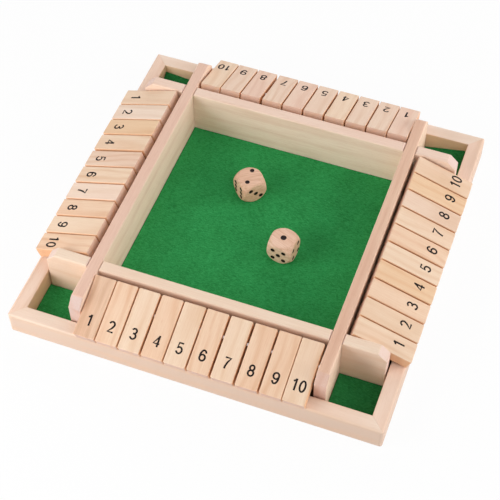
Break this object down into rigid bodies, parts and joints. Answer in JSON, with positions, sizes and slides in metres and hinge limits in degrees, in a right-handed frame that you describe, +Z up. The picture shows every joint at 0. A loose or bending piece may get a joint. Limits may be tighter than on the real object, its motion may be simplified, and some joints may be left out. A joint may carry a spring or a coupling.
{
  "type": "shut the box game",
  "caption": "Square wooden shut the box board with a felted dice tray, corner pockets and a bank of number tiles on a steel rod along each side",
  "frame": {"origin": "middle of the board, on the underside of the base panel", "axes": "+X along the front rail to the right, +Y from the front rail to the back rail, +Z up"},
  "size_m": [0.3064, 0.3064, 0.0447],
  "materials": {
    "rail_wood": "pale beech, sanded, thin satin varnish",
    "wall_wood": "pale beech, sanded, thin satin varnish",
    "tile_wood": "pale hardwood in mixed tones, satin varnish",
    "base_wood": "brown hardboard, left bare",
    "felt": "short green wool felt, matt",
    "rod_steel": "drawn steel wire, plain",
    "die_wood": "tumbled hardwood, satin",
    "print_black": "black printing ink, satin"
  },
  "bodies": {
    "frame": {"rail_front": "rail_wood", "rail_right": "rail_wood", "rail_back": "rail_wood", "rail_left": "rail_wood", "base_panel": "base_wood", "felt_tray": "felt", "felt_front_left": "felt", "felt_front_right": "felt", "felt_back_right": "felt", "felt_back_left": "felt", "wall_front": "wall_wood", "wall_right": "wall_wood", "wall_back": "wall_wood", "wall_left": "wall_wood", "rod_front": "rod_steel", "rod_right": "rod_steel", "rod_back": "rod_steel", "rod_left": "rod_steel"},
    "tile_front_1": {"tile_front_1": "tile_wood"},
    "tile_front_2": {"tile_front_2": "tile_wood"},
    "tile_front_3": {"tile_front_3": "tile_wood"},
    "tile_front_4": {"tile_front_4": "tile_wood"},
    "tile_front_5": {"tile_front_5": "tile_wood"},
    "tile_front_6": {"tile_front_6": "tile_wood"},
    "tile_front_7": {"tile_front_7": "tile_wood"},
    "tile_front_8": {"tile_front_8": "tile_wood"},
    "tile_front_9": {"tile_front_9": "tile_wood"},
    "tile_front_10": {"tile_front_10": "tile_wood"},
    "tile_right_1": {"tile_right_1": "tile_wood"},
    "tile_right_2": {"tile_right_2": "tile_wood"},
    "tile_right_3": {"tile_right_3": "tile_wood"},
    "tile_right_4": {"tile_right_4": "tile_wood"},
    "tile_right_5": {"tile_right_5": "tile_wood"},
    "tile_right_6": {"tile_right_6": "tile_wood"},
    "tile_right_7": {"tile_right_7": "tile_wood"},
    "tile_right_8": {"tile_right_8": "tile_wood"},
    "tile_right_9": {"tile_right_9": "tile_wood"},
    "tile_right_10": {"tile_right_10": "tile_wood"},
    "tile_back_1": {"tile_back_1": "tile_wood"},
    "tile_back_2": {"tile_back_2": "tile_wood"},
    "tile_back_3": {"tile_back_3": "tile_wood"},
    "tile_back_4": {"tile_back_4": "tile_wood"},
    "tile_back_5": {"tile_back_5": "tile_wood"},
    "tile_back_6": {"tile_back_6": "tile_wood"},
    "tile_back_7": {"tile_back_7": "tile_wood"},
    "tile_back_8": {"tile_back_8": "tile_wood"},
    "tile_back_9": {"tile_back_9": "tile_wood"},
    "tile_back_10": {"tile_back_10": "tile_wood"},
    "tile_left_1": {"tile_left_1": "tile_wood"},
    "tile_left_2": {"tile_left_2": "tile_wood"},
    "tile_left_3": {"tile_left_3": "tile_wood"},
    "tile_left_4": {"tile_left_4": "tile_wood"},
    "tile_left_5": {"tile_left_5": "tile_wood"},
    "tile_left_6": {"tile_left_6": "tile_wood"},
    "tile_left_7": {"tile_left_7": "tile_wood"},
    "tile_left_8": {"tile_left_8": "tile_wood"},
    "tile_left_9": {"tile_left_9": "tile_wood"},
    "tile_left_10": {"tile_left_10": "tile_wood"},
    "die_a": {"die_a": "die_wood"},
    "die_b": {"die_b": "die_wood"}
  },
  "joints": [
    {"name": "tile_front_1_flip", "type": "hinge", "parent": "frame", "child": "tile_front_1", "pos_m": [0, -0.1212, 0.035], "axis": [-1, 0, 0], "range_deg": [0, 162]},
    {"name": "tile_front_2_flip", "type": "hinge", "parent": "frame", "child": "tile_front_2", "pos_m": [0, -0.1212, 0.035], "axis": [-1, 0, 0], "range_deg": [0, 162]},
    {"name": "tile_front_3_flip", "type": "hinge", "parent": "frame", "child": "tile_front_3", "pos_m": [0, -0.1212, 0.035], "axis": [-1, 0, 0], "range_deg": [0, 162]},
    {"name": "tile_front_4_flip", "type": "hinge", "parent": "frame", "child": "tile_front_4", "pos_m": [0, -0.1212, 0.035], "axis": [-1, 0, 0], "range_deg": [0, 162]},
    {"name": "tile_front_5_flip", "type": "hinge", "parent": "frame", "child": "tile_front_5", "pos_m": [0, -0.1212, 0.035], "axis": [-1, 0, 0], "range_deg": [0, 162]},
    {"name": "tile_front_6_flip", "type": "hinge", "parent": "frame", "child": "tile_front_6", "pos_m": [0, -0.1212, 0.035], "axis": [-1, 0, 0], "range_deg": [0, 162]},
    {"name": "tile_front_7_flip", "type": "hinge", "parent": "frame", "child": "tile_front_7", "pos_m": [0, -0.1212, 0.035], "axis": [-1, 0, 0], "range_deg": [0, 162]},
    {"name": "tile_front_8_flip", "type": "hinge", "parent": "frame", "child": "tile_front_8", "pos_m": [0, -0.1212, 0.035], "axis": [-1, 0, 0], "range_deg": [0, 162]},
    {"name": "tile_front_9_flip", "type": "hinge", "parent": "frame", "child": "tile_front_9", "pos_m": [0, -0.1212, 0.035], "axis": [-1, 0, 0], "range_deg": [0, 162]},
    {"name": "tile_front_10_flip", "type": "hinge", "parent": "frame", "child": "tile_front_10", "pos_m": [0, -0.1212, 0.035], "axis": [-1, 0, 0], "range_deg": [0, 162]},
    {"name": "tile_right_1_flip", "type": "hinge", "parent": "frame", "child": "tile_right_1", "pos_m": [0.1212, 0, 0.035], "axis": [0, -1, 0], "range_deg": [0, 162]},
    {"name": "tile_right_2_flip", "type": "hinge", "parent": "frame", "child": "tile_right_2", "pos_m": [0.1212, 0, 0.035], "axis": [0, -1, 0], "range_deg": [0, 162]},
    {"name": "tile_right_3_flip", "type": "hinge", "parent": "frame", "child": "tile_right_3", "pos_m": [0.1212, 0, 0.035], "axis": [0, -1, 0], "range_deg": [0, 162]},
    {"name": "tile_right_4_flip", "type": "hinge", "parent": "frame", "child": "tile_right_4", "pos_m": [0.1212, 0, 0.035], "axis": [0, -1, 0], "range_deg": [0, 162]},
    {"name": "tile_right_5_flip", "type": "hinge", "parent": "frame", "child": "tile_right_5", "pos_m": [0.1212, 0, 0.035], "axis": [0, -1, 0], "range_deg": [0, 162]},
    {"name": "tile_right_6_flip", "type": "hinge", "parent": "frame", "child": "tile_right_6", "pos_m": [0.1212, 0, 0.035], "axis": [0, -1, 0], "range_deg": [0, 162]},
    {"name": "tile_right_7_flip", "type": "hinge", "parent": "frame", "child": "tile_right_7", "pos_m": [0.1212, 0, 0.035], "axis": [0, -1, 0], "range_deg": [0, 162]},
    {"name": "tile_right_8_flip", "type": "hinge", "parent": "frame", "child": "tile_right_8", "pos_m": [0.1212, 0, 0.035], "axis": [0, -1, 0], "range_deg": [0, 162]},
    {"name": "tile_right_9_flip", "type": "hinge", "parent": "frame", "child": "tile_right_9", "pos_m": [0.1212, 0, 0.035], "axis": [0, -1, 0], "range_deg": [0, 162]},
    {"name": "tile_right_10_flip", "type": "hinge", "parent": "frame", "child": "tile_right_10", "pos_m": [0.1212, 0, 0.035], "axis": [0, -1, 0], "range_deg": [0, 162]},
    {"name": "tile_back_1_flip", "type": "hinge", "parent": "frame", "child": "tile_back_1", "pos_m": [0, 0.1212, 0.035], "axis": [1, 0, 0], "range_deg": [0, 162]},
    {"name": "tile_back_2_flip", "type": "hinge", "parent": "frame", "child": "tile_back_2", "pos_m": [0, 0.1212, 0.035], "axis": [1, 0, 0], "range_deg": [0, 162]},
    {"name": "tile_back_3_flip", "type": "hinge", "parent": "frame", "child": "tile_back_3", "pos_m": [0, 0.1212, 0.035], "axis": [1, 0, 0], "range_deg": [0, 162]},
    {"name": "tile_back_4_flip", "type": "hinge", "parent": "frame", "child": "tile_back_4", "pos_m": [0, 0.1212, 0.035], "axis": [1, 0, 0], "range_deg": [0, 162]},
    {"name": "tile_back_5_flip", "type": "hinge", "parent": "frame", "child": "tile_back_5", "pos_m": [0, 0.1212, 0.035], "axis": [1, 0, 0], "range_deg": [0, 162]},
    {"name": "tile_back_6_flip", "type": "hinge", "parent": "frame", "child": "tile_back_6", "pos_m": [0, 0.1212, 0.035], "axis": [1, 0, 0], "range_deg": [0, 162]},
    {"name": "tile_back_7_flip", "type": "hinge", "parent": "frame", "child": "tile_back_7", "pos_m": [0, 0.1212, 0.035], "axis": [1, 0, 0], "range_deg": [0, 162]},
    {"name": "tile_back_8_flip", "type": "hinge", "parent": "frame", "child": "tile_back_8", "pos_m": [0, 0.1212, 0.035], "axis": [1, 0, 0], "range_deg": [0, 162]},
    {"name": "tile_back_9_flip", "type": "hinge", "parent": "frame", "child": "tile_back_9", "pos_m": [0, 0.1212, 0.035], "axis": [1, 0, 0], "range_deg": [0, 162]},
    {"name": "tile_back_10_flip", "type": "hinge", "parent": "frame", "child": "tile_back_10", "pos_m": [0, 0.1212, 0.035], "axis": [1, 0, 0], "range_deg": [0, 162]},
    {"name": "tile_left_1_flip", "type": "hinge", "parent": "frame", "child": "tile_left_1", "pos_m": [-0.1212, 0, 0.035], "axis": [0, 1, 0], "range_deg": [0, 162]},
    {"name": "tile_left_2_flip", "type": "hinge", "parent": "frame", "child": "tile_left_2", "pos_m": [-0.1212, 0, 0.035], "axis": [0, 1, 0], "range_deg": [0, 162]},
    {"name": "tile_left_3_flip", "type": "hinge", "parent": "frame", "child": "tile_left_3", "pos_m": [-0.1212, 0, 0.035], "axis": [0, 1, 0], "range_deg": [0, 162]},
    {"name": "tile_left_4_flip", "type": "hinge", "parent": "frame", "child": "tile_left_4", "pos_m": [-0.1212, 0, 0.035], "axis": [0, 1, 0], "range_deg": [0, 162]},
    {"name": "tile_left_5_flip", "type": "hinge", "parent": "frame", "child": "tile_left_5", "pos_m": [-0.1212, 0, 0.035], "axis": [0, 1, 0], "range_deg": [0, 162]},
    {"name": "tile_left_6_flip", "type": "hinge", "parent": "frame", "child": "tile_left_6", "pos_m": [-0.1212, 0, 0.035], "axis": [0, 1, 0], "range_deg": [0, 162]},
    {"name": "tile_left_7_flip", "type": "hinge", "parent": "frame", "child": "tile_left_7", "pos_m": [-0.1212, 0, 0.035], "axis": [0, 1, 0], "range_deg": [0, 162]},
    {"name": "tile_left_8_flip", "type": "hinge", "parent": "frame", "child": "tile_left_8", "pos_m": [-0.1212, 0, 0.035], "axis": [0, 1, 0], "range_deg": [0, 162]},
    {"name": "tile_left_9_flip", "type": "hinge", "parent": "frame", "child": "tile_left_9", "pos_m": [-0.1212, 0, 0.035], "axis": [0, 1, 0], "range_deg": [0, 162]},
    {"name": "tile_left_10_flip", "type": "hinge", "parent": "frame", "child": "tile_left_10", "pos_m": [-0.1212, 0, 0.035], "axis": [0, 1, 0], "range_deg": [0, 162]},
    {"name": "die_a_lift", "type": "slide", "parent": "frame", "child": "die_a", "axis": [0, 0, 1], "range_m": [0, 0.06]},
    {"name": "die_b_lift", "type": "slide", "parent": "frame", "child": "die_b", "axis": [0, 0, 1], "range_m": [0, 0.06]}
  ]
}
